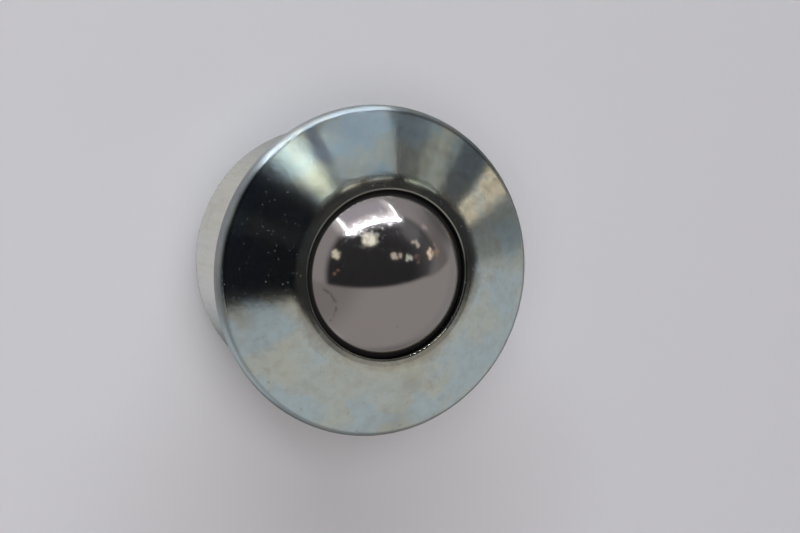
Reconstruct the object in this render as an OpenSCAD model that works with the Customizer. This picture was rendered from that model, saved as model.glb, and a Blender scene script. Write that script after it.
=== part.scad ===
// Ball transfer unit with a drawn sheet-steel housing.
// It stands on the base of the can, ball upwards, with the origin at the centre of the base.

/* [Load ball] */
// Diameter of the load ball
load_ball_d = 45; // [40:0.5:45]
// Height of the load ball's top above the seat of the flange
ball_top_h = 19; // [18.8:0.1:19.2]

/* [Cover] */
// Outer diameter of the cover
cover_d = 75; // [74:0.5:80]
// Thickness of the cover's sheet
cover_sheet = 1.5; // [1.2:0.1:1.5]
// Height of the upright edge above the seat, up to the cone
edge_h = 3.7; // [3.6:0.1:4]
// Height of the land around the opening above the seat
land_h = 10.5; // [10.4:0.1:11]
// Outer diameter of the land
land_d = 43.4; // [42.4:0.2:44]
// Outward fall of the land
land_fall = 0.14; // [0:0.02:0.2]
// Diameter of the opening around the load ball
opening_d = 37.8; // [37.8:0.1:39]
// Width of the edge that is rolled in under the housing's flange
hem_w = 4.5; // [3.5:0.1:5]

/* [Housing] */
// Outer diameter of the can
can_d = 62; // [62:0.5:63]
// Depth of the can below the seat
can_depth = 34.5; // [34:0.1:34.6]
// Wall of the can
can_wall = 1.6; // [1.2:0.1:1.6]
// Thickness of the can's floor
floor_t = 2; // [1.8:0.1:2]
// Rounding of the can's lower edge
base_round = 3; // [2:0.5:4]

/* [Ball bed] */
// Diameter of a support ball
support_ball_d = 4.762; // [4:0.001:4.762]
// Play of a support ball between the load ball and the raceway
ball_play = 0.12; // [0.08:0.01:0.14]
// Wall of the bearing cup
cup_wall = 1.92; // [1.6:0.02:1.92]

/* [Seal] */
// Gap between the seal and the load ball
seal_gap = 0.12; // [0.05:0.01:0.2]
// Height of the seal under the land
seal_h = 2.7; // [2:0.1:3.5]

/* [Hidden] */
// Rows of support balls from the bottom of the load ball up to its middle
ROWS = 9;

// Facets round a turned piece or the load ball, and round a support ball or a rounded edge
turned_fn = 180;
small_fn = 36;

load_ball_r = load_ball_d / 2;
seat_z = can_depth;
centre_z = seat_z + ball_top_h - load_ball_r;

// Cover
cover_r = cover_d / 2;
land_r = land_d / 2;
opening_r = opening_d / 2;
land_z = seat_z + land_h;
edge_z = seat_z + edge_h;
cone_angle = atan((land_h - land_fall - edge_h) / (cover_r - land_r));
land_angle = atan(land_fall / (land_r - opening_r));
hem_top_z = seat_z + cover_sheet;
skirt_r = cover_r - cover_sheet;
opening_round = 0.5;
land_round = 6.6;
edge_round = 2.1;
hem_round = 1.5;
hem_end_round = 0.4;
hem_r = cover_r - hem_w;
land_under_z = land_z - cover_sheet;

// Housing
can_r = can_d / 2;
can_bore_r = can_r - can_wall;
flange_top_z = hem_top_z + can_wall;
flange_r = skirt_r - 0.1;
flange_bend = 1;
floor_round = 1.2;
cover_gap = 0.05;

// Ball bed
support_ball_r = support_ball_d / 2;
ball_circle_r = load_ball_r + support_ball_r + ball_play / 2;
raceway_r = load_ball_r + support_ball_d + ball_play;
cup_r = raceway_r + cup_wall;
ring_play = 0.22;
cup_rim_z = centre_z + support_ball_r + ring_play;
cup_chamfer = 0.3;
row_angle = 90 / (ROWS - 1);
row_gap = 0.1;

// Retaining ring and seal
ring_gap = 0.5;
ring_cover_gap = 0.2;
ring_shoulder_z = cup_rim_z + 1.2;
ring_neck_r = cup_r - 1.7;
seal_z = land_under_z - seal_h;
seal_cover_gap = 0.1;

// Height of the underside of the cover's cone at radius r
function under_cone(r) = edge_z + (cover_r - r) * tan(cone_angle) - cover_sheet / cos(cone_angle);
// Radius at which the underside of the cover's cone has height z
function under_cone_r(z) = cover_r - (z - edge_z + cover_sheet / cos(cone_angle)) / tan(cone_angle);

function towards(angle) = [cos(angle), sin(angle)];

// How many support balls fit side by side in a row at an angle from the downward axis
function row_count(angle) =
    angle == 0 ? 1 : floor(180 / asin((support_ball_d + row_gap) / (2 * ball_circle_r * sin(angle))));

// What lies between a corner and the arc that rounds it; a1 and a2 are the directions of its sides
module corner(p, a1, a2, r) {
    half = (a2 - a1) / 2;
    reach = r / tan(half);
    centre = p + r / sin(half) * towards(a1 + half);
    difference() {
        polygon([p, p + reach * towards(a1), centre, p + reach * towards(a2)]);
        translate(centre) circle(r = r, $fn = small_fn);
    }
}

module turned() {
    rotate_extrude($fn = turned_fn) children();
}

// Drawn can with a floor, a rounded lower edge and a flange that the cover is rolled around
module housing() {
    color("lightsteelblue") turned() {
        difference() {
            polygon([
                [0, 0], [can_r, 0], [can_r, hem_top_z], [flange_r, hem_top_z],
                [flange_r, under_cone(flange_r) - cover_gap],
                [under_cone_r(flange_top_z + cover_gap), flange_top_z],
                [can_bore_r, flange_top_z], [can_bore_r, floor_t], [0, floor_t]
            ]);
            corner([can_r, 0], 90, 180, base_round);
            corner([can_bore_r, flange_top_z], -90, 0, flange_bend + can_wall);
        }
        corner([can_r, hem_top_z], 270, 360, flange_bend);
        corner([can_bore_r, floor_t], 90, 180, floor_round);
    }
}

// Hardened cup whose hemispherical raceway carries the support balls; its flat foot stands on the floor
module bearing_cup() {
    color("dimgray") turned() difference() {
        union() {
            intersection() {
                translate([0, centre_z]) circle(r = cup_r, $fn = turned_fn);
                translate([0, floor_t]) square([cup_r + 1, centre_z - floor_t]);
            }
            translate([0, centre_z]) square([cup_r, cup_rim_z - centre_z]);
        }
        translate([0, centre_z]) circle(r = raceway_r, $fn = turned_fn);
        translate([0, centre_z]) square([raceway_r, cup_rim_z]);
        polygon([
            [cup_r - cup_chamfer, cup_rim_z], [cup_r + 1, cup_rim_z - cup_chamfer - 1],
            [cup_r + 1, cup_rim_z + 1], [cup_r - cup_chamfer, cup_rim_z + 1]
        ]);
    }
}

// Moulded ring on the cup's rim that keeps the support balls down and holds up the seal
module retaining_ring() {
    ring_top_r = under_cone_r(seal_z + ring_cover_gap);
    color("darkslategray") turned() difference() {
        polygon([
            [0, cup_rim_z], [cup_r, cup_rim_z], [cup_r, ring_shoulder_z], [ring_neck_r, ring_shoulder_z],
            [ring_neck_r, under_cone(ring_neck_r) - ring_cover_gap], [ring_top_r, seal_z], [0, seal_z]
        ]);
        translate([0, centre_z]) circle(r = load_ball_r + ring_gap, $fn = turned_fn);
    }
}

// Wiper ring between the retaining ring and the land of the cover, bored to the load ball
module ball_seal() {
    color([0.08, 0.08, 0.08]) turned() difference() {
        polygon([
            [0, seal_z], [under_cone_r(seal_z + seal_cover_gap), seal_z],
            [under_cone_r(land_under_z + seal_cover_gap), land_under_z], [0, land_under_z]
        ]);
        translate([0, centre_z]) circle(r = load_ball_r + seal_gap, $fn = turned_fn);
    }
}

// Sheet cover: a cone between the land around the opening and an edge that is rolled under the flange
module cover() {
    color("silver") turned() difference() {
        polygon([
            [opening_r, land_z], [land_r, land_z - land_fall], [cover_r, edge_z], [cover_r, seat_z],
            [hem_r, seat_z], [hem_r, hem_top_z], [skirt_r, hem_top_z], [skirt_r, under_cone(skirt_r)],
            [under_cone_r(land_under_z), land_under_z], [opening_r, land_under_z]
        ]);
        corner([opening_r, land_z], -90, -land_angle, opening_round);
        corner([land_r, land_z - land_fall], 180 - land_angle, 360 - cone_angle, land_round);
        corner([cover_r, edge_z], 180 - cone_angle, 270, edge_round);
        corner([cover_r, seat_z], 90, 180, hem_round);
        corner([hem_r, seat_z], 0, 90, hem_end_round);
        corner([hem_r, hem_top_z], -90, 0, hem_end_round);
    }
}

module load_ball() {
    color("gainsboro") translate([0, 0, centre_z]) sphere(r = load_ball_r, $fn = turned_fn);
}

// One row of support balls; row 1 is the single ball at the bottom and the last row is level with the centre
module support_ball_row(row) {
    angle = (row - 1) * row_angle;
    count = row_count(angle);
    color("lightgray") for (i = [0 : count - 1])
        rotate([0, 0, 360 * i / count])
            translate([ball_circle_r * sin(angle), 0, centre_z - ball_circle_r * cos(angle)])
                sphere(r = support_ball_r, $fn = small_fn);
}

housing();
bearing_cup();
retaining_ring();
ball_seal();
cover();
load_ball();
for (row = [1 : ROWS])
    support_ball_row(row);
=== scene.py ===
"""Ball transfer unit: zinc plate, bearing steel and felt, on a pale floor in a soft studio."""

import math

import bpy
import numpy as np
from bpy.props import FloatProperty, FloatVectorProperty, IntProperty, PointerProperty
from bpy.types import Operator, Panel, PropertyGroup
from mathutils import Matrix, Vector


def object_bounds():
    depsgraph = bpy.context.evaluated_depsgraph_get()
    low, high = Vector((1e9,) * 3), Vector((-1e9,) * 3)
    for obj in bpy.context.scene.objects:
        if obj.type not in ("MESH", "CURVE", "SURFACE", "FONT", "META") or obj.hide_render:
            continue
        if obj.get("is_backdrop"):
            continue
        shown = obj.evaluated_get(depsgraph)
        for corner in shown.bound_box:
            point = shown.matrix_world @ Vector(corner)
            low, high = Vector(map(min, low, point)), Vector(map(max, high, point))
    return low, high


bl_info = {
    "name": "Ball transfer unit",
    "version": (1, 0, 0),
    "blender": (4, 5, 0),
    "location": "View3D > Sidebar > Ball unit",
    "description": "Finishes a ball transfer unit and sets it on a pale floor in a soft studio",
    "category": "Add Mesh",
}

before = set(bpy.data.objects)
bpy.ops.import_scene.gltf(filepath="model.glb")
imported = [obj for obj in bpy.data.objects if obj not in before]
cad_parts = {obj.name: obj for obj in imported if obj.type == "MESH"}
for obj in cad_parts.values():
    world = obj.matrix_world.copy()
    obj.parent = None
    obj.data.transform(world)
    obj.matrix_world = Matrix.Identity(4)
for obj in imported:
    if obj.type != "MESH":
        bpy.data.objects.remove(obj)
CAD_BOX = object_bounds()
MM = 0.001

# the cover's cone: radius and height of its foot in millimetres, and its rise towards the axis
FOOT_RADIUS, FOOT_HEIGHT, CONE_RISE = 37.5, 38.2, 0.4224

# the radii or heights between which one part of the cover gives way to the next, in metres
BORE, BORE_TOP = (19.15 * MM, 19.4 * MM), (44.66 * MM, 44.91 * MM)
LIP = (19.35 * MM, 19.65 * MM)
LAND = (20.8 * MM, 22.4 * MM)
BEND = (36.1 * MM, 36.8 * MM)
SKIRT, SKIRT_TOP = (36.7 * MM, 37.2 * MM), (37.2 * MM, 37.9 * MM)

# the band beside the bend that is darkened as painted shade, to dim the highlight there: its
# radius, half its width and its softness, in metres
SHADED_BAND = (36.35 * MM, 0.30 * MM, 0.4 * MM)

# marks on the cone: radius in millimetres, angle round from X in degrees, size in millimetres
BLUE_PATCHES = ((29, 216, 5), (31, 5, 6), (35.5, 347, 6), (34, 108, 5), (33, 143, 5))
WORN_PATCHES = ((26, 300, 2.5), (36, 292, 5.0), (33, 212, 2.0))
# painted reflection: these spots paint a dark navy streak across the cone, where a reflection lies
DARK_REFLECTION_STREAK = ((35.5, 132, 1.4), (33, 132.5, 1.5), (30.5, 133, 1.5), (28.5, 131.5, 0.9))
STAMPED_SWELL = (24, 141, 7.0)

# the load ball, in millimetres: the path of its curved stain with the size and softness of the
# spots along it, and the middle, size and softness of its scuffed patch
STAIN_PATH = (
    (-14.6, -6.6, 46.8),
    (-13.5, -6.9, 47.6),
    (-12.35, -7.8, 48.1),
    (-11.4, -9.1, 48.1),
    (-10.9, -10.55, 47.6),
    (-11.0, -12.6, 46.0),
)
STAIN_SPOTS, STAIN_SIZE, STAIN_SOFT = 12, 0.35, 1.1
SCUFFED_PLACE, SCUFFED_SIZE, SCUFFED_SOFT = (-8.5, 10.0, 49.5), 7.0, 8.0

# the window in the world: a direction is past its sill or a post where its dot product with
# one of these is above 0
SILL = (0.250, -0.455, 0.855)
LEFT_POST = (-0.693, -0.713, -0.109)
RIGHT_POST = (0.931, -0.056, -0.3615)
SKY = (0.93, 0.98, 1.08)
SKY_STRENGTH = 45.0

# lamps in the world: angle from straight up, angle round from X, radius and softness, in degrees
LAMPS = (
    (61, 61, 9.0, 12.0, (0.17, 0.17, 0.18)),
    (42.3, 121.5, 7.8, 3.5, (1.5, 1.5, 1.26)),
    (59, 171, 4.6, 2.5, (1.05, 1.0, 0.80)),
    (25, 64, 4.0, 3.0, (0.85, 0.76, 0.66)),
    (35, 41, 3.0, 1.5, (0.80, 0.85, 0.76)),
    (54.5, 49, 3.3, 3.0, (0.70, 0.66, 0.58)),
    (79, 50, 3.5, 3.0, (0.50, 0.44, 0.44)),
    (65.5, 30, 3.6, 3.0, (1.32, 1.07, 0.83)),
    (75, 30, 4.0, 4.0, (0.40, 0.29, 0.24)),
    (45.5, 33, 3.0, 2.0, (0.17, 0.12, 0.10)),
    (53.5, 193, 1.6, 1.5, (0.26, 0.15, 0.10)),
)

# patches below the horizon: angle from straight up, angle round from X, outer and inner radius
LOW_PATCHES = (
    (106, 40, 20, 3, (0.13, 0.13, 0.135)),
    (106, 128, 20, 3, (0.80, 0.81, 0.85)),
    (106, 212, 20, 3, (0.22, 0.22, 0.23)),
    (133, -58, 42, 12, (0.07, 0.08, 0.08)),
)

# where the soft light stands: its angles, what it points at, and how far off it is
KEY_FROM = (18, 180)
KEY_TARGET = (0.0, 0.0, 30 * MM)
KEY_DISTANCE = 1.0

# the cover's seat, which the camera looks at, and how far to its right and up the camera stands
SEAT = (0.0, 0.0, 34.5 * MM)
CAMERA_RIGHT, CAMERA_UP = 6.792 * MM, 0.857 * MM


# --- Shader trees ---------------------------------------------------------------------------


class Wire:
    """The output of a node. Arithmetic on it adds Math nodes to the same tree."""

    def __init__(self, tree, socket):
        self.tree = tree
        self.socket = socket

    def maths(self, operation, *values):
        return self.tree.add("Math", {"operation": operation}, dict(enumerate(values)))

    def __add__(self, other):
        return self.maths("ADD", self, other)

    def __radd__(self, other):
        return self.maths("ADD", other, self)

    def __sub__(self, other):
        return self.maths("SUBTRACT", self, other)

    def __rsub__(self, other):
        return self.maths("SUBTRACT", other, self)

    def __mul__(self, other):
        return self.maths("MULTIPLY", self, other)

    def __rmul__(self, other):
        return self.maths("MULTIPLY", other, self)

    def __pow__(self, other):
        return self.maths("POWER", self, other)

    def __abs__(self):
        return self.maths("ABSOLUTE", self)


class Tree:
    """A material's or world's node tree. Nodes that aren't arithmetic come from add()."""

    def __init__(self, owner):
        owner.use_nodes = True
        self.owner = owner
        self.nodes = owner.node_tree.nodes
        self.links = owner.node_tree.links
        self.nodes.clear()

    def add(self, kind, settings=None, inputs=None, output=0):
        """Adds a node, makes its settings, then gives its sockets their values or links."""
        node = self.nodes.new("ShaderNode" + kind)
        for name, value in (settings or {}).items():
            setattr(node, name, value)
        for name, value in (inputs or {}).items():
            if isinstance(value, Wire):
                self.links.new(value.socket, node.inputs[name])
            else:
                node.inputs[name].default_value = value
        return Wire(self, node.outputs[output]) if node.outputs else None

    def vector(self, operation, *values, output=0):
        return self.add("VectorMath", {"operation": operation}, dict(enumerate(values)), output)

    def place(self):
        """Where a point is on its piece, in metres."""
        return self.add("TexCoord", output=3)

    def axes(self, vector):
        """The x, y and z of a vector."""
        return [self.add("SeparateXYZ", None, {0: vector}, output=axis) for axis in range(3)]

    def ease(self, value, low, high, start=0.0, end=1.0):
        """Goes smoothly from start to end while value goes from low to high."""
        limits = {"From Min": low, "From Max": high, "To Min": start, "To Max": end}
        smooth = {"interpolation_type": "SMOOTHSTEP"}
        return self.add("MapRange", smooth, {"Value": value, **limits})

    def fade(self, value, low, high):
        """Goes smoothly from 1 to 0 while value goes from low to high."""
        return self.ease(value, low, high, 1.0, 0.0)

    def band(self, value, centre, half, soft):
        """1 where value is within half of centre, falling to 0 over soft at each side."""
        return self.fade(abs(value - centre), half - soft / 2, half + soft / 2)

    def dot(self, vector, direction):
        return self.vector("DOT_PRODUCT", vector, direction, output=1)

    def spot(self, place, centre, size, soft):
        """1 within size of a point, falling to 0 over soft."""
        apart = self.vector("DISTANCE", place, centre, output=1)
        return self.fade(apart, size - soft / 2, size + soft / 2)

    def spots(self, place, marks):
        """The sum of several spots, each given by its centre, size and softness."""
        first, *others = [self.spot(place, *mark) for mark in marks]
        return sum(others, first)

    def mix(self, factor, first, second):
        """The first colour where factor is 0 and the second where it is 1."""
        inputs = {0: factor, 6: opaque(first), 7: opaque(second)}
        return self.add("Mix", {"data_type": "RGBA"}, inputs, output=2)

    def noise(self, place, scale, detail=2.0, roughness=0.5, output=0):
        inputs = {"Vector": place, "Scale": scale, "Detail": detail, "Roughness": roughness}
        return self.add("TexNoise", None, inputs, output)

    def specks(self, place, scale, size, share):
        """Scattered round specks: 1 inside size of a cell's own point, in a share of the cells."""
        cell = {"Vector": place, "Scale": scale}
        apart = self.add("TexVoronoi", None, cell)
        colour = self.add("TexVoronoi", None, cell, output=1)
        drawn = self.add("SeparateColor", None, {0: colour})
        return self.fade(apart, size * 0.6, size) * self.fade(drawn, share, share * 1.02 + 0.001)

    def stretch(self, place, scale=(1.0, 1.0, 1.0), turn=(0.0, 0.0, 0.0), shift=(0.0, 0.0, 0.0)):
        inputs = {"Vector": place, "Scale": scale, "Rotation": turn, "Location": shift}
        return self.add("Mapping", None, inputs)

    def bump(self, height):
        """A normal from a height in metres."""
        return self.add("Bump", None, {"Height": height, "Distance": 1.0, "Strength": 1.0})

    def surface(self, inputs):
        shader = self.add("BsdfPrincipled", None, inputs)
        self.add("OutputMaterial", None, {"Surface": shader})
        return self.owner


def opaque(colour):
    """A plain colour with its alpha, or the wire that carries one."""
    return colour if isinstance(colour, Wire) else (*colour, 1.0)


def scaled(values, factor):
    return tuple(factor * value for value in values)


def new_tree(name):
    return Tree(bpy.data.materials.new(name))


# --- Finishes -------------------------------------------------------------------------------


def cone(radius, azimuth):
    """The point of the cone at a radius in millimetres and an angle round from X in degrees."""
    turn = math.radians(azimuth)
    height = FOOT_HEIGHT + CONE_RISE * (FOOT_RADIUS - radius)
    return (radius * MM * math.cos(turn), radius * MM * math.sin(turn), height * MM)


def passivated(tree, plate, place, radius):
    """Zinc, straw near the opening and pale blue towards the edge, both in soft patches."""
    outward = tree.ease(radius, 22 * MM, 36 * MM)
    straw = tree.ease(tree.noise(place, 70.0, 4.0, 0.6), 0.42, 0.60, 0.15, 1.0)
    straw = straw * (1.0 - 0.45 * outward)
    blue = tree.noise(tree.stretch(place, shift=(0.31, 0.1, 0.0)), 100.0, 4.0, 0.55)
    blue = tree.ease(blue + 0.16 * outward, 0.53, 0.74)
    bluer = tree.spots(place, [(cone(r, a), s * MM, s * MM) for r, a, s in BLUE_PATCHES])
    blue = tree.ease(blue * 0.85 + bluer * (blue * 0.4 + 0.6), 0.0, 1.0)
    colour = tree.mix(straw, plate.zinc_colour, plate.straw_tint)
    return tree.mix(blue, colour, plate.blue_tint)


def zinc_cover(plate):
    """Bright zinc on the pressed cover, drawn round its axis, with tints and handling marks,
    painted shade at the bend and the opening, a darker grey upright edge, and a painted reflection
    streak.
    """
    tree = new_tree("zinc_plate_cover")
    place = tree.place()
    x, y, height = tree.axes(place)
    radius = (x * x + y * y) ** 0.5
    colour = passivated(tree, plate, place, radius)
    # worn patches, a fine mottle, grime that collects against the opening, small dark flecks
    worn = tree.spots(place, [(cone(r, a), s * MM, s * MM * 1.6) for r, a, s in WORN_PATCHES])
    mottle = tree.noise(place, 420.0, 4.0, 0.6)
    near = tree.fade(radius, 20.3 * MM, 24.5 * MM)
    grime = tree.ease(tree.noise(place, 120.0, 4.0, 0.65) + 0.22 * near, 0.56, 0.78)
    flecks = tree.noise(tree.stretch(place, shift=(0.0, 0.7, 0.2)), 760.0, 3.0, 0.6)
    flecks = tree.ease(flecks, 0.655, 0.72)
    for marks in (worn * 0.28, tree.ease(mottle, 0.35, 0.75, 0.0, 0.22), grime * 0.5, flecks * 0.4):
        colour = tree.mix(marks, colour, plate.dirt_colour)
    # painted shade: the bend is darkened to dim its highlight, and the upright edge is painted a
    # darker grey; beside them, a band at one side is darkened, a painted shade that dims the
    # highlight there
    skirt = tree.ease(radius, *SKIRT) * tree.fade(height, *SKIRT_TOP)
    bend = tree.ease(radius, *BEND)
    scuffed_and_shaded = tree.ease(bend * 0.5 + skirt * 0.3, 0.0, 0.8, 0.0, 0.8)
    colour = tree.mix(scuffed_and_shaded, colour, plate.edge_grey_and_bend_shade_colour)
    # painted shade: a dark band beside the bend, on one side only, dims the highlight there
    one_side = tree.ease(tree.dot(place, (-0.6, 0.8, 0.0)), 0.0, 12 * MM)
    band_shade = tree.band(radius, *SHADED_BAND) * one_side
    colour = tree.mix(band_shade * 0.62, colour, plate.band_shade_colour)
    # the land is worn warmer and smoother, and its lip darker
    land = tree.fade(radius, *LAND)
    colour = tree.mix(land * 0.35, colour, plate.land_colour)
    lip = tree.fade(radius, *LIP)
    colour = tree.mix(lip * 0.6, colour, plate.lip_colour)
    # a painted reflection: a dark navy streak across the cone; and painted shade: the cut edge in
    # the opening is painted black, for the shadow down into the opening
    stain_and_reflection = tree.spots(place, [(cone(r, a), s * MM, 2.4 * MM) for r, a, s in DARK_REFLECTION_STREAK])
    stain_and_reflection = stain_and_reflection * tree.ease(mottle, 0.3, 0.65, 0.46, 0.66)
    colour = tree.mix(stain_and_reflection, colour, plate.stain_and_reflection_colour)
    # painted shade: the cut edge in the opening is painted black, standing in for the shadow down
    # into the opening
    bore = tree.fade(radius, *BORE) * tree.fade(height, *BORE_TOP)
    colour = tree.mix(bore, colour, plate.opening_shade_colour)
    # dust, fine scuffs and a grain that breaks up the reflection
    grain = tree.noise(place, 1400.0, 2.0)
    scuffs = tree.stretch(place, (3.0, 0.35, 1.0), turn=(0, 0, 0.5))
    scuffs = tree.ease(tree.noise(scuffs, 900.0, 2.0, 0.6), 0.62, 0.74)
    fine = tree.stretch(place, (1.0, 0.55, 1.0), turn=(0, 0, 0.9))
    fine = tree.specks(fine, 1900.0, 0.12, 0.22)
    dust = tree.ease(tree.specks(place, 900.0, 0.11, 0.3) + 0.55 * fine, 0.0, 1.0)
    colour = tree.mix(dust, colour, plate.dust_colour)
    roughness = plate.roughness * (1.0 - 0.42 * land) + 0.05 * (grain - 0.5)
    roughness = roughness + 0.03 * grime + 0.05 * scuffs + 0.15 * bend
    # what the press leaves: slow waves and dimples, and a slight swell where the unit is stamped
    waves = tree.noise(place, 70.0, 1.0) * plate.wave_depth
    waves = waves + tree.noise(place, 260.0, 2.0) * (plate.wave_depth * 0.19)
    dimples = tree.noise(place, 620.0, 2.0, 0.6) * (plate.wave_depth * 0.05)
    swell_radius, swell_azimuth, size = STAMPED_SWELL
    swell = tree.spot(place, cone(swell_radius, swell_azimuth), size * MM, 2 * size * MM)
    peel = grain * plate.peel_depth + dimples
    return tree.surface({
        "Base Color": colour,
        # painted shade: the opening's cut edge is not metal, so that it stays black
        "Metallic": (1.0 - 0.8 * dust) * (1.0 - bore) * (1.0 - 0.03 * land),
        "Roughness": roughness + 0.4 * bore,
        "Specular IOR Level": 0.0,
        "Anisotropic": plate.drawn,
        "Anisotropic Rotation": 0.25,
        "Normal": tree.bump(waves + swell * plate.swell_height + peel),
    })


def zinc_can(plate):
    """The same zinc on the deep-drawn can, with upright draw marks and finger smudges."""
    tree = new_tree("zinc_plate_can")
    place = tree.place()
    marks = tree.noise(tree.stretch(place, (1.0, 1.0, 0.05)), 900.0, 3.0, 0.6)
    cloud = tree.noise(tree.stretch(place, (1.0, 1.0, 0.5)), 60.0, 3.0)
    smudge = tree.stretch(place, (1.0, 1.0, 0.7), turn=(0.4, 0.0, 0.0))
    smudge = tree.noise(smudge, 120.0, 4.0, 0.6)
    colour = tree.mix(tree.ease(cloud, 0.38, 0.62, 0.0, 0.8), plate.can_colour, plate.straw_tint)
    colour = tree.mix(tree.ease(marks, 0.35, 0.75, 0.0, 0.14), colour, plate.dirt_colour)
    colour = tree.mix(tree.ease(smudge, 0.54, 0.74) * 0.22, colour, plate.dirt_colour)
    roughness = plate.roughness + 0.04 + 0.08 * (marks - 0.5) + 0.06 * cloud
    return tree.surface({
        "Base Color": colour,
        "Metallic": 1.0,
        "Roughness": roughness + 0.08 * tree.ease(smudge, 0.5, 0.7),
        "Normal": tree.bump(marks * plate.peel_depth),
    })


def bearing_ball(steel):
    """Polished bearing steel, with clouds, a few pits, a curved stain and a scuffed patch."""
    tree = new_tree("polished_bearing_steel")
    place = tree.place()
    colour = tree.mix(tree.noise(place, 40.0, 2.0), steel.ball_colour, steel.ball_shade)
    pits = tree.specks(place, 700.0, 0.14, 0.05)
    colour = tree.mix(pits * 0.7, colour, steel.stain_and_reflection_colour)
    # the stain: spots at even steps along its path, broken up by noise
    path = np.array(STAIN_PATH)
    steps = np.linspace(0, len(path) - 1, STAIN_SPOTS)
    points = np.stack([np.interp(steps, range(len(path)), axis) for axis in path.T], axis=-1)
    marks = [(tuple(point * MM), STAIN_SIZE * MM, STAIN_SOFT * MM) for point in points]
    stain_and_reflection = tree.spots(place, marks)
    stain_and_reflection = stain_and_reflection * tree.ease(tree.noise(place, 520.0, 3.0, 0.7), 0.38, 0.62)
    colour = tree.mix(tree.ease(stain_and_reflection, 0.0, 1.0, 0.0, 0.5), colour, steel.stain_and_reflection_colour)
    middle = scaled(SCUFFED_PLACE, MM)
    scuffed_and_shaded = tree.spot(place, middle, SCUFFED_SIZE * MM, SCUFFED_SOFT * MM)
    bite = tree.noise(place, 2400.0, 2.0, 0.5)
    haze = tree.ease(tree.noise(place, 800.0, 3.0, 0.6), 0.50, 0.64) * scuffed_and_shaded
    return tree.surface({
        "Base Color": colour,
        "Metallic": 0.96,
        "Roughness": steel.ball_roughness + 0.12 * haze + 0.2 * pits,
        "Normal": tree.bump(bite * (scuffed_and_shaded * 0.9 + 0.1) * steel.scuff_depth),
    })


def plain_steel(name, colour, roughness, scale):
    """Machined steel with a fine even grain."""
    tree = new_tree(name)
    grain = tree.noise(tree.place(), scale, 3.0)
    shade = tree.mix(grain * 0.3, colour, scaled(colour, 0.7))
    inputs = {"Base Color": shade, "Metallic": 1.0, "Roughness": roughness + 0.1 * grain}
    return tree.surface(inputs)


def black_felt(black):
    """Oiled black felt, darkened further as partly painted shade for the gap round the ball: short
    crossed fibres that take the light unevenly.
    """
    tree = new_tree("black_felt")
    fibres = tree.noise(tree.stretch(tree.place(), (1.0, 0.3, 1.0)), 2400.0, 3.0, 0.7)
    return tree.surface({
        "Base Color": tree.mix(fibres, black.felt_and_shade_colour, scaled(black.felt_and_shade_colour, 2.5)),
        "Roughness": 0.95,
        "Specular IOR Level": 0.1,
        "Normal": tree.bump(fibres * 0.15 * MM),
    })


def black_moulding(black):
    """Moulded black plastic with a faint spark-eroded grain."""
    tree = new_tree("black_moulding")
    grain = tree.noise(tree.place(), 1800.0, 3.0)
    return tree.surface({
        "Base Color": tree.mix(grain, black.moulding_colour, scaled(black.moulding_colour, 1.6)),
        "Roughness": 0.45 + 0.2 * grain,
        "Normal": tree.bump(grain * 0.02 * MM),
    })


def dress(node, material):
    """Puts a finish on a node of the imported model."""
    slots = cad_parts[node].data.materials
    slots.clear()
    slots.append(material)


# --- Settings -------------------------------------------------------------------------------


def colour_setting(name, description, default):
    return FloatVectorProperty(
        name=name, description=description, default=default, subtype="COLOR", size=3,
        min=0.0, max=1.0,
    )


def share_setting(name, description, default):
    return FloatProperty(
        name=name, description=description, default=default, min=0.0, max=1.0, subtype="FACTOR"
    )


def depth_setting(name, description, default):
    return FloatProperty(
        name=name, description=description, default=default, min=0.0, max=MM, unit="LENGTH",
        precision=6,
    )


def length_setting(name, description, default, low, high):
    return FloatProperty(
        name=name, description=description, default=default, min=low, max=high, unit="LENGTH"
    )


def angle_setting(name, description, default, low, high):
    return FloatProperty(
        name=name, description=description, default=math.radians(default), min=low, max=high,
        subtype="ANGLE",
    )


class BALLUNIT_PG_plate(PropertyGroup):
    """The zinc plating of the cover and the can."""

    zinc_colour: colour_setting("Zinc", "The bright zinc", (0.775, 0.885, 0.86))
    can_colour: colour_setting("Can", "The can's zinc", (0.82, 0.875, 0.85))
    straw_tint: colour_setting("Straw tint", "Passivation that looks straw", (0.82, 0.87, 0.75))
    blue_tint: colour_setting("Blue tint", "Passivation that looks blue", (0.71, 0.885, 0.95))
    dirt_colour: colour_setting("Smudges", "The handling marks", (0.42, 0.40, 0.33))
    # painted shade on the bend, which dims its highlight; the same darker grey is painted on the
    # upright edge
    edge_grey_and_bend_shade_colour: colour_setting("Edge", "The scuffed upright edge", (0.36, 0.38, 0.38))
    land_colour: colour_setting("Land", "The worn land round the opening", (0.68, 0.64, 0.53))
    lip_colour: colour_setting("Lip", "The worn lip of the opening", (0.26, 0.26, 0.23))
    # painted shade: the black of the opening's cut edge, standing in for the shadow there
    opening_shade_colour: colour_setting("Oil", "The oily cut edge in the opening", (0.01, 0.01, 0.01))
    # painted shade: the dark colour of the band beside the bend, which dims its highlight
    band_shade_colour: colour_setting("Rubbed", "The rubbed band by the edge", (0.09, 0.09, 0.10))
    # painted reflection: the navy colour of the dark streak painted on the cone
    stain_and_reflection_colour: colour_setting("Stain", "The dark stain on the cone", (0.16, 0.20, 0.30))
    dust_colour: colour_setting("Dust", "The dust specks", (0.30, 0.31, 0.31))
    roughness: share_setting("Roughness", "Roughness of the plating", 0.18)
    drawn: share_setting("Drawing", "How far the press draws the surface round its axis", 0.95)
    wave_depth: depth_setting("Waves", "Depth of the slow waves that the press leaves", 0.10 * MM)
    swell_height: depth_setting("Swell", "Height of the stamped place's swell", 0.30 * MM)
    peel_depth: depth_setting("Grain", "Depth of the fine grain of the plating", 0.0006 * MM)


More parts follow.
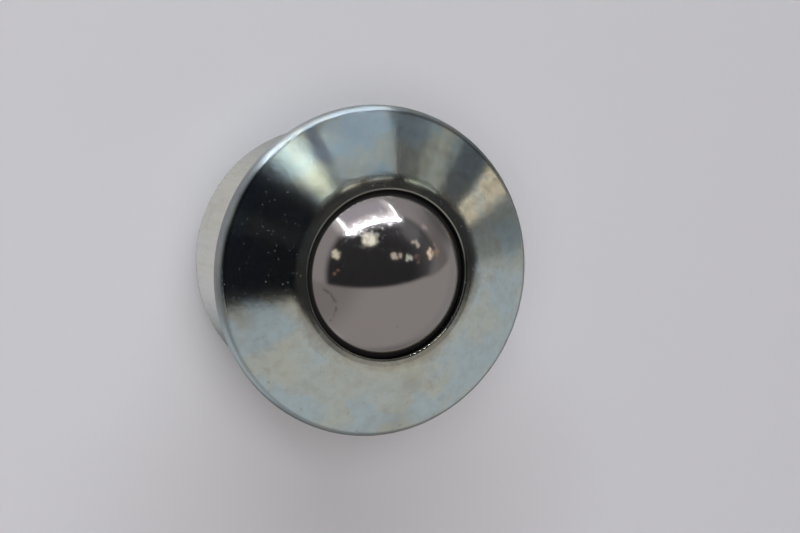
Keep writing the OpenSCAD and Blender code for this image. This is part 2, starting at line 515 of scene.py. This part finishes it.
class BALLUNIT_PG_steel(PropertyGroup):
    """The bearing steel inside."""

    ball_colour: colour_setting("Ball", "The polished ball", (0.50, 0.47, 0.455))
    ball_shade: colour_setting("Ball shade", "The ball's darker clouds", (0.46, 0.43, 0.415))
    stain_and_reflection_colour: colour_setting("Stains", "The ball's pits and stain", (0.20, 0.13, 0.14))
    ball_roughness: share_setting("Ball roughness", "Roughness of the polished ball", 0.085)
    scuff_depth: depth_setting("Scuffs", "Depth of the fine scuffs on the ball", 0.007 * MM)
    small_colour: colour_setting("Small balls", "The support balls", (0.60, 0.60, 0.61))
    cup_colour: colour_setting("Cup", "The hardened cup", (0.42, 0.41, 0.40))


class BALLUNIT_PG_black(PropertyGroup):
    """The black felt and moulding round the ball."""

    # partly painted shade: the seal is near black so that the gap round the ball reads as shadow
    felt_and_shade_colour: colour_setting("Felt", "The seal", (0.002, 0.002, 0.002))
    moulding_colour: colour_setting("Moulding", "The retaining ring", (0.02, 0.02, 0.021))


class BALLUNIT_PG_stage(PropertyGroup):
    """Floor, light and camera."""

    floor_colour: colour_setting("Floor", "The paper floor", (0.67, 0.661, 0.679))
    floor_radius: length_setting("Floor radius", "Radius of the paper floor", 3.0, 0.3, 20.0)
    floor_steps: IntProperty(
        name="Floor steps", description="Steps round the floor", default=96, min=12, max=720
    )
    key_strength: FloatProperty(
        name="Key light", description="Radiance of the soft light", default=3.8, min=0.0, max=50.0
    )
    key_radius: length_setting("Key size", "Radius of the soft light", 0.35, 0.01, 2.0)
    camera_distance: length_setting(
        "Camera distance", "From the cover's seat to the camera", 509 * MM, 0.05, 10.0
    )
    camera_tilt: angle_setting(
        "Camera tilt", "Angle of the view from the unit's axis", 23.466, 0.0, math.pi / 2
    )
    camera_roll: angle_setting(
        "Camera roll", "Turn of the camera about its view", 14.251, -math.pi, math.pi
    )
    lens: FloatProperty(
        name="Lens", description="Focal length on a 36 mm sensor", default=101.17, min=10.0,
        max=500.0, subtype="DISTANCE_CAMERA",
    )


# --- Studio ---------------------------------------------------------------------------------


def towards(polar, azimuth):
    """The direction at an angle from straight up and an angle round from X, in degrees."""
    down, round_x = math.radians(polar), math.radians(azimuth)
    flat = math.sin(down)
    return (flat * math.cos(round_x), flat * math.sin(round_x), math.cos(down))


def disc(tree, seen, polar, azimuth, outer, inner):
    """1 within inner degrees of a direction, falling to 0 at outer degrees from it."""
    near = tree.dot(seen, towards(polar, azimuth))
    return tree.ease(near, math.cos(math.radians(outer)), math.cos(math.radians(inner)))


def dim_room(tree, seen, sill, left, right):
    """The wall, and the room's dim part: black overhead, with a faint glow by the window."""
    x, _, z = tree.axes(seen)
    past_window = tree.ease(sill, -0.03, 0.03) + tree.ease(left, 0.0, 0.06)
    past_window = past_window + tree.ease(right, 0.0, 0.06)
    dim = tree.ease(z + 0.09 * x, 0.24, 0.40) * tree.ease(past_window, 0.0, 1.0)
    glow = tree.ease(z, 0.85, 0.45) * tree.ease(x, -0.35, 0.25)
    room = tree.mix(glow, (0.002, 0.0025, 0.005), (0.075, 0.075, 0.08))
    far_end = tree.ease(x, 0.78, 0.90) * tree.ease(z, 0.75, 0.45)
    room = tree.mix(far_end, room, (0.21, 0.21, 0.21))
    fringe = tree.fade(sill, 0.02, 0.16) * tree.fade(left, 0.02, 0.06)
    room = tree.mix(fringe * tree.fade(right, 0.02, 0.16), room, (0.42, 0.42, 0.44))
    wall = tree.mix(tree.ease(right, 0.25, 0.70), (0.38, 0.365, 0.37), (0.20, 0.187, 0.183))
    return tree.mix(dim, wall, room)


def tall_window(tree, light, seen, sill, left, right):
    """Paints the window over light: a pale pane, and a sill and posts that the sky lights."""
    _, y, z = tree.axes(seen)
    reveal = tree.ease(left, 0.0, 0.22, 0.6, 0.0) * tree.ease(left, -0.02, 0.0)
    light = tree.mix(reveal * tree.fade(sill, -0.03, 0.03), light, (1.3, 1.28, 1.3))
    glow = tree.ease(sill, -0.26, -0.03) * 0.7 + tree.ease(abs(right), 0.02, 0.16, 0.5, 0.0)
    pane = tree.mix(glow, (0.56, 0.54, 0.60), (1.9, 1.85, 1.85))
    inside = tree.fade(sill, -0.06, -0.02) * tree.fade(left, -0.03, 0.03)
    inside = inside * tree.fade(right, -0.03, 0.03)
    light = tree.mix(inside * tree.ease(z, -0.1, 0.1), light, pane)
    ledge = tree.fade(left, 0.02, 0.06) * tree.fade(right, 0.02, 0.06)
    ledge = tree.band(sill, -0.02, 0.015, 0.012) * ledge
    ledge = ledge * tree.ease(right, -0.32, 0.02, 1.0, 0.6)
    posts = tree.band(left, 0.0, 0.015, 0.014) + tree.band(right, 0.0, 0.010, 0.010)
    posts = posts * tree.ease(sill, -0.04, 0.0, 0.3, 0.0)
    posts = posts * tree.ease(z, 0.02, 0.15) * tree.ease(y, 0.3, 0.5)
    return tree.mix(tree.ease(ledge + posts, 0.0, 1.0), light, scaled(SKY, SKY_STRENGTH))


def small_lamps(tree, light, seen):
    """Paints the lamps over light, each a soft disc broken up by what hangs in front of it."""
    broken = tree.noise(seen, 11.0, 3.0, 0.5, output=1)
    ragged = tree.vector("MULTIPLY_ADD", broken, (0.024, 0.024, 0.024), seen)
    ragged = tree.vector("SUBTRACT", ragged, (0.012, 0.012, 0.012))
    for polar, azimuth, half, soft, colour in LAMPS:
        lamp = disc(tree, ragged, polar, azimuth, half + soft / 2, half - soft / 2)
        light = tree.mix(lamp, light, colour)
    return light


def bench_and_below(tree, light, seen):
    """Paints the bench in front over light, and what lies below the horizon."""
    x, y, z = tree.axes(seen)
    line = y - 0.38 * x + 0.26 * z + tree.ease(x, 0.75, 0.92, 0.0, 0.05)
    bench = tree.mix(tree.ease(x, -0.1, -0.6), (0.405, 0.385, 0.38), (0.29, 0.275, 0.27))
    light = tree.mix(tree.fade(line, -0.07, 0.02), light, bench)
    low = tree.mix(tree.ease(y, -0.52, -0.42), (0.78, 0.85, 0.90), (0.50, 0.47, 0.49))
    low = tree.mix(tree.ease(x, -0.15, 0.05), low, (0.34, 0.335, 0.34))
    light = tree.mix(tree.fade(z, -0.25, 0.05), light, low)
    for *patch, colour in LOW_PATCHES:
        light = tree.mix(disc(tree, seen, *patch), light, colour)
    return light


def studio_world():
    """Soft surroundings painted by direction: a dim room, a window, small lamps and a bench."""
    world = bpy.data.worlds.new("studio")
    bpy.context.scene.world = world
    tree = Tree(world)
    seen = tree.add("TexCoord")
    lines = [tree.dot(seen, line) for line in (SILL, LEFT_POST, RIGHT_POST)]
    light = dim_room(tree, seen, *lines)
    light = tall_window(tree, light, seen, *lines)
    light = small_lamps(tree, light, seen)
    light = bench_and_below(tree, light, seen)
    tree.add("OutputWorld", None, {"Surface": tree.add("Background", None, {"Color": light})})


def aim(obj, place, back, right):
    """Puts an object at a place with its Z along back and its X as near to right as it can be."""
    back = back.normalized()
    right = (right - back * right.dot(back)).normalized()
    turn = Matrix((right, back.cross(right), back)).transposed().to_4x4()
    obj.matrix_world = Matrix.Translation(place) @ turn


def link(name, data):
    obj = bpy.data.objects.new(name, data)
    bpy.context.scene.collection.objects.link(obj)
    return obj


def key_light(stage):
    """One round soft light, which neither the camera nor a reflection sees."""
    light = bpy.data.lights.new("key", "AREA")
    light.shape = "ELLIPSE"
    light.size = light.size_y = 2 * stage.key_radius
    light.energy = stage.key_strength * math.pi * math.pi * stage.key_radius * stage.key_radius
    light.color = (1.0, 0.99, 1.0)
    obj = link("key", light)
    way = Vector(towards(*KEY_FROM))
    aim(obj, Vector(KEY_TARGET) + way * KEY_DISTANCE, way, Vector((1, 0, 0)))
    obj.visible_camera = False
    obj.visible_glossy = False


def paper_floor(stage):
    """A flat disc. Each ring's radius is the floor's, times the square of its share of the rings,
    so that the rings lie closer near the unit."""
    rings, steps = 12, stage.floor_steps
    out = stage.floor_radius * (np.arange(1, rings + 1) / rings) ** 2
    turn = np.linspace(0.0, 2 * np.pi, steps, endpoint=False)
    across, along = np.outer(out, np.cos(turn)), np.outer(out, np.sin(turn))
    grid = np.stack((across, along, np.zeros((rings, steps))), axis=-1)
    points = np.concatenate((np.zeros((1, 3)), grid.reshape(-1, 3)))
    here = np.arange(steps)
    there = (here + 1) % steps
    start = 1 + steps * np.arange(rings - 1)[:, None]
    corners = (start + here, start + steps + here, start + steps + there, start + there)
    quads = np.stack(corners, axis=-1).reshape(-1, 4)
    middle = np.stack((np.zeros(steps, int), 1 + here, 1 + there), axis=-1)
    mesh = bpy.data.meshes.new("paper_floor")
    mesh.from_pydata(points.tolist(), [], middle.tolist() + quads.tolist())
    tree = new_tree("paper")
    fibre = tree.noise(tree.place(), 60.0, 3.0)
    colour = tree.mix(fibre * 0.15, stage.floor_colour, scaled(stage.floor_colour, 0.97))
    inputs = {"Base Color": colour, "Roughness": 0.9, "Specular IOR Level": 0.1}
    mesh.materials.append(tree.surface(inputs))
    obj = link("paper_floor", mesh)
    obj.visible_glossy = False
    obj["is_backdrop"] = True


def camera(stage):
    """Looks at the seat from the camera's tilt, rolled about its view."""
    tilt, roll = stage.camera_tilt, stage.camera_roll
    back = Vector((-math.sin(tilt), 0, math.cos(tilt)))
    level = Vector((math.cos(tilt), 0, math.sin(tilt)))
    right = level * math.cos(roll) + Vector((0, 1, 0)) * math.sin(roll)
    up = back.cross(right)
    place = Vector(SEAT) + back * stage.camera_distance + right * CAMERA_RIGHT + up * CAMERA_UP
    data = bpy.data.cameras.new("camera")
    data.lens, data.sensor_width, data.clip_start = stage.lens, 36.0, 0.01
    obj = link("camera", data)
    aim(obj, place, back, right)
    bpy.context.scene.camera = obj
    bpy.context.scene.view_settings.view_transform = "Standard"


# --- Operators ------------------------------------------------------------------------------


class BALLUNIT_OT_cover(Operator):
    """Finish the pressed cover in bright zinc"""

    bl_idname = "ball_unit.cover"
    bl_label = "Cover"

    def execute(self, context):
        dress("cover", zinc_cover(context.scene.ball_unit_plate))
        return {"FINISHED"}


class BALLUNIT_OT_can(Operator):
    """Finish the deep-drawn can in its own zinc"""

    bl_idname = "ball_unit.can"
    bl_label = "Can"

    def execute(self, context):
        dress("housing", zinc_can(context.scene.ball_unit_plate))
        return {"FINISHED"}


class BALLUNIT_OT_load_ball(Operator):
    """Finish the load ball in polished bearing steel"""

    bl_idname = "ball_unit.load_ball"
    bl_label = "Load ball"

    def execute(self, context):
        dress("load_ball", bearing_ball(context.scene.ball_unit_steel))
        return {"FINISHED"}


class BALLUNIT_OT_seal(Operator):
    """Finish the felt seal and the moulded ring under it"""

    bl_idname = "ball_unit.seal"
    bl_label = "Seal and ring"

    def execute(self, context):
        black = context.scene.ball_unit_black
        dress("ball_seal", black_felt(black))
        dress("retaining_ring", black_moulding(black))
        return {"FINISHED"}


class BALLUNIT_OT_ball_bed(Operator):
    """Finish the hardened cup and the rows of support balls"""

    bl_idname = "ball_unit.ball_bed"
    bl_label = "Ball bed"

    def execute(self, context):
        steel = context.scene.ball_unit_steel
        cup = plain_steel("hardened_steel", steel.cup_colour, roughness=0.22, scale=500.0)
        dress("bearing_cup", cup)
        small = plain_steel("support_ball_steel", steel.small_colour, roughness=0.08, scale=900.0)
        for row in [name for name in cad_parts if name.startswith("support_ball_row")]:
            dress(row, small)
        return {"FINISHED"}


class BALLUNIT_OT_stage(Operator):
    """Lay the floor, light it and place the camera"""

    bl_idname = "ball_unit.stage"
    bl_label = "Stage"

    def execute(self, context):
        stage = context.scene.ball_unit_stage
        studio_world()
        paper_floor(stage)
        key_light(stage)
        camera(stage)
        return {"FINISHED"}


OPERATORS = (
    BALLUNIT_OT_cover,
    BALLUNIT_OT_can,
    BALLUNIT_OT_load_ball,
    BALLUNIT_OT_seal,
    BALLUNIT_OT_ball_bed,
    BALLUNIT_OT_stage,
)


class BALLUNIT_PT_panel(Panel):
    """The pieces of the ball unit, and its stage"""

    bl_idname = "BALLUNIT_PT_panel"
    bl_label = "Ball transfer unit"
    bl_space_type = "VIEW_3D"
    bl_region_type = "UI"
    bl_category = "Ball unit"

    def draw(self, context):
        for operator in OPERATORS:
            self.layout.operator(operator.bl_idname)
        for name in SETTINGS:
            settings = getattr(context.scene, name)
            box = self.layout.box()
            for prop in settings.bl_rna.properties:
                if prop.identifier not in ("rna_type", "name"):
                    box.prop(settings, prop.identifier)


SETTINGS = {
    "ball_unit_plate": BALLUNIT_PG_plate,
    "ball_unit_steel": BALLUNIT_PG_steel,
    "ball_unit_black": BALLUNIT_PG_black,
    "ball_unit_stage": BALLUNIT_PG_stage,
}
CLASSES = (*SETTINGS.values(), *OPERATORS, BALLUNIT_PT_panel)


def register():
    for cls in CLASSES:
        bpy.utils.register_class(cls)
    for name, group in SETTINGS.items():
        setattr(bpy.types.Scene, name, PointerProperty(type=group))


def unregister():
    for name in SETTINGS:
        delattr(bpy.types.Scene, name)
    for cls in reversed(CLASSES):
        bpy.utils.unregister_class(cls)


def main():
    register()
    bpy.ops.ball_unit.cover()
    bpy.ops.ball_unit.can()
    bpy.ops.ball_unit.load_ball()
    bpy.ops.ball_unit.seal()
    bpy.ops.ball_unit.ball_bed()
    bpy.ops.ball_unit.stage()
    sizes = {"cad": CAD_BOX, "visual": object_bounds()}
    sizes = {name: [list(corner) for corner in box] for name, box in sizes.items()}


if __name__ == "__main__":
    main()
